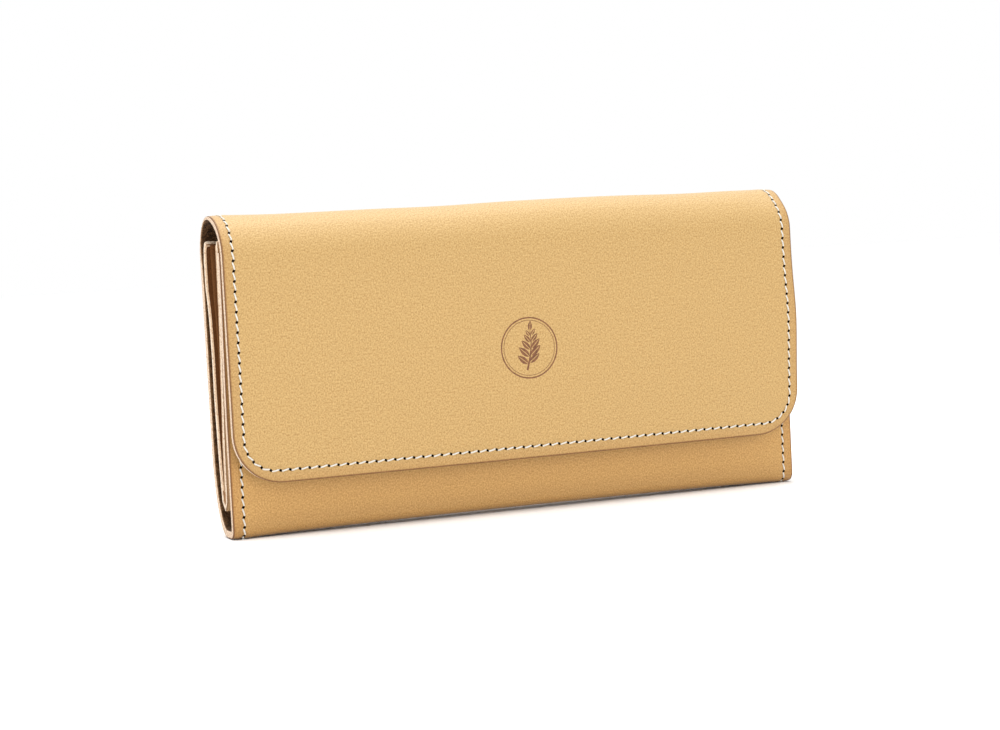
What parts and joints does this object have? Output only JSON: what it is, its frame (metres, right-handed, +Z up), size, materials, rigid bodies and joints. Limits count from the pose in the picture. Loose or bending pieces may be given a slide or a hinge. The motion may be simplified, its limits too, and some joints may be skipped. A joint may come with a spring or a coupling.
{
  "type": "long wallet",
  "caption": "Long flap wallet in natural leather with side gussets, card slots, a zipped coin pocket and a press stud.",
  "frame": {"origin": "middle of the bottom fold, on the surface the wallet stands on", "axes": "+X along the wallet, +Y out of its back, +Z up; the flap faces -Y"},
  "size_m": [0.19, 0.025, 0.096],
  "materials": {
    "leather": "natural vegetable-tanned honey leather, fine grain, matt",
    "lining": "dark brown suede, rough",
    "gusset": "smooth mid brown leather",
    "thread": "cream waxed thread",
    "zip_tape": "dark brown woven tape",
    "brass": "satin brass"
  },
  "bodies": {
    "back": {"back_panel": "leather", "back_lining": "lining", "back_thread_left": "thread", "back_thread_right": "thread", "bottom_fold": "leather", "bottom_fold_lining": "lining", "pouch_rear_wall": "leather", "pouch_bottom": "leather", "gusset_rear_edge_left": "leather", "gusset_rear_edge_right": "leather", "card_slot_1_left": "leather", "card_slot_1_right": "leather", "card_slot_2_left": "leather", "card_slot_2_right": "leather", "card_slot_3_left": "leather", "card_slot_3_right": "leather"},
    "fold_1": {"top_fold_1": "leather", "top_fold_1_lining": "lining", "top_fold_1_thread_left": "thread", "top_fold_1_thread_right": "thread"},
    "fold_2": {"top_fold_2": "leather", "top_fold_2_lining": "lining", "top_fold_2_thread_left": "thread", "top_fold_2_thread_right": "thread"},
    "fold_3": {"top_fold_3": "leather", "top_fold_3_lining": "lining", "top_fold_3_thread_left": "thread", "top_fold_3_thread_right": "thread"},
    "flap": {"flap_panel": "leather", "flap_lining": "lining", "flap_thread": "thread", "snap_socket": "brass", "snap_rivet": "brass"},
    "front": {"front_panel": "leather", "front_lining": "lining", "front_thread_left": "thread", "front_thread_right": "thread", "pouch_front_wall": "leather", "gusset_front_edge_left": "leather", "gusset_front_edge_right": "leather", "snap_stud": "brass", "snap_stud_washer": "brass"},
    "gusset_rear_left": {"gusset_rear_leaf_left": "gusset"},
    "gusset_rear_right": {"gusset_rear_leaf_right": "gusset"},
    "gusset_front_left": {"gusset_front_leaf_left": "gusset"},
    "gusset_front_right": {"gusset_front_leaf_right": "gusset"},
    "coin_pocket": {"coin_pocket_back": "leather", "coin_pocket_front": "leather", "coin_pocket_top_band": "leather", "coin_pocket_binding": "leather", "zip_tape_lower": "zip_tape", "zip_tape_upper": "zip_tape", "zip_teeth_lower": "brass", "zip_teeth_upper": "brass", "zip_stop_left": "brass", "zip_stop_right": "brass"},
    "zip_slider": {"zip_slider": "brass", "zip_slider_back": "brass"},
    "zip_pull": {"zip_pull": "brass"}
  },
  "joints": [
    {"name": "flap_open", "type": "hinge", "parent": "back", "child": "fold_1", "pos_m": [0, 0.01155, 0.08828], "axis": [-1, 0, 0], "range_deg": [0, 45]},
    {"name": "flap_bend_2", "type": "hinge", "parent": "fold_1", "child": "fold_2", "pos_m": [0, 0.00478, 0.09505], "axis": [-1, 0, 0], "range_deg": [0, 45]},
    {"name": "flap_bend_3", "type": "hinge", "parent": "fold_2", "child": "fold_3", "pos_m": [0, -0.00478, 0.09505], "axis": [-1, 0, 0], "range_deg": [0, 45]},
    {"name": "flap_bend_4", "type": "hinge", "parent": "fold_3", "child": "flap", "pos_m": [0, -0.01155, 0.08828], "axis": [-1, 0, 0], "range_deg": [0, 45]},
    {"name": "pouch_open", "type": "hinge", "parent": "back", "child": "front", "pos_m": [0, 0.00155, 0.0168], "axis": [1, 0, 0], "range_deg": [0, 10]},
    {"name": "coin_pocket_tilt", "type": "hinge", "parent": "back", "child": "coin_pocket", "pos_m": [0, 0.0008, 0.017], "axis": [1, 0, 0], "range_deg": [0, 5]},
    {"name": "gusset_rear_left_fold", "type": "hinge", "parent": "back", "child": "gusset_rear_left", "pos_m": [-0.0936, 0.00155, 0.0168], "axis": [0, -0.0558, -0.9984], "range_deg": [0, 33.7]},
    {"name": "gusset_rear_right_fold", "type": "hinge", "parent": "back", "child": "gusset_rear_right", "pos_m": [0.0936, 0.00155, 0.0168], "axis": [0, 0.0558, 0.9984], "range_deg": [0, 33.7]},
    {"name": "gusset_front_left_fold", "type": "hinge", "parent": "front", "child": "gusset_front_left", "pos_m": [-0.0936, 0.00155, 0.0168], "axis": [0, -0.0499, 0.9988], "range_deg": [0, 33.7]},
    {"name": "gusset_front_right_fold", "type": "hinge", "parent": "front", "child": "gusset_front_right", "pos_m": [0.0936, 0.00155, 0.0168], "axis": [0, 0.0499, -0.9988], "range_deg": [0, 33.7]},
    {"name": "zip_slide", "type": "slide", "parent": "coin_pocket", "child": "zip_slider", "axis": [-1, 0, 0], "range_m": [0, 0.132]},
    {"name": "zip_pull_swing", "type": "hinge", "parent": "zip_slider", "child": "zip_pull", "pos_m": [0.0669, -0.00165, 0.07], "axis": [0, 1, 0], "range_deg": [-75, 75]}
  ],
  "couplings": [
    {"joint": "flap_bend_2", "follows": "flap_open", "ratio": 1},
    {"joint": "flap_bend_3", "follows": "flap_open", "ratio": 1},
    {"joint": "flap_bend_4", "follows": "flap_open", "ratio": 1},
    {"joint": "pouch_open", "follows": "flap_open", "ratio": 0.22222},
    {"joint": "coin_pocket_tilt", "follows": "flap_open", "ratio": 0.11111},
    {"joint": "gusset_rear_left_fold", "follows": "flap_open", "ratio": 0.74889},
    {"joint": "gusset_rear_right_fold", "follows": "flap_open", "ratio": 0.74889},
    {"joint": "gusset_front_left_fold", "follows": "flap_open", "ratio": 0.74889},
    {"joint": "gusset_front_right_fold", "follows": "flap_open", "ratio": 0.74889}
  ]
}
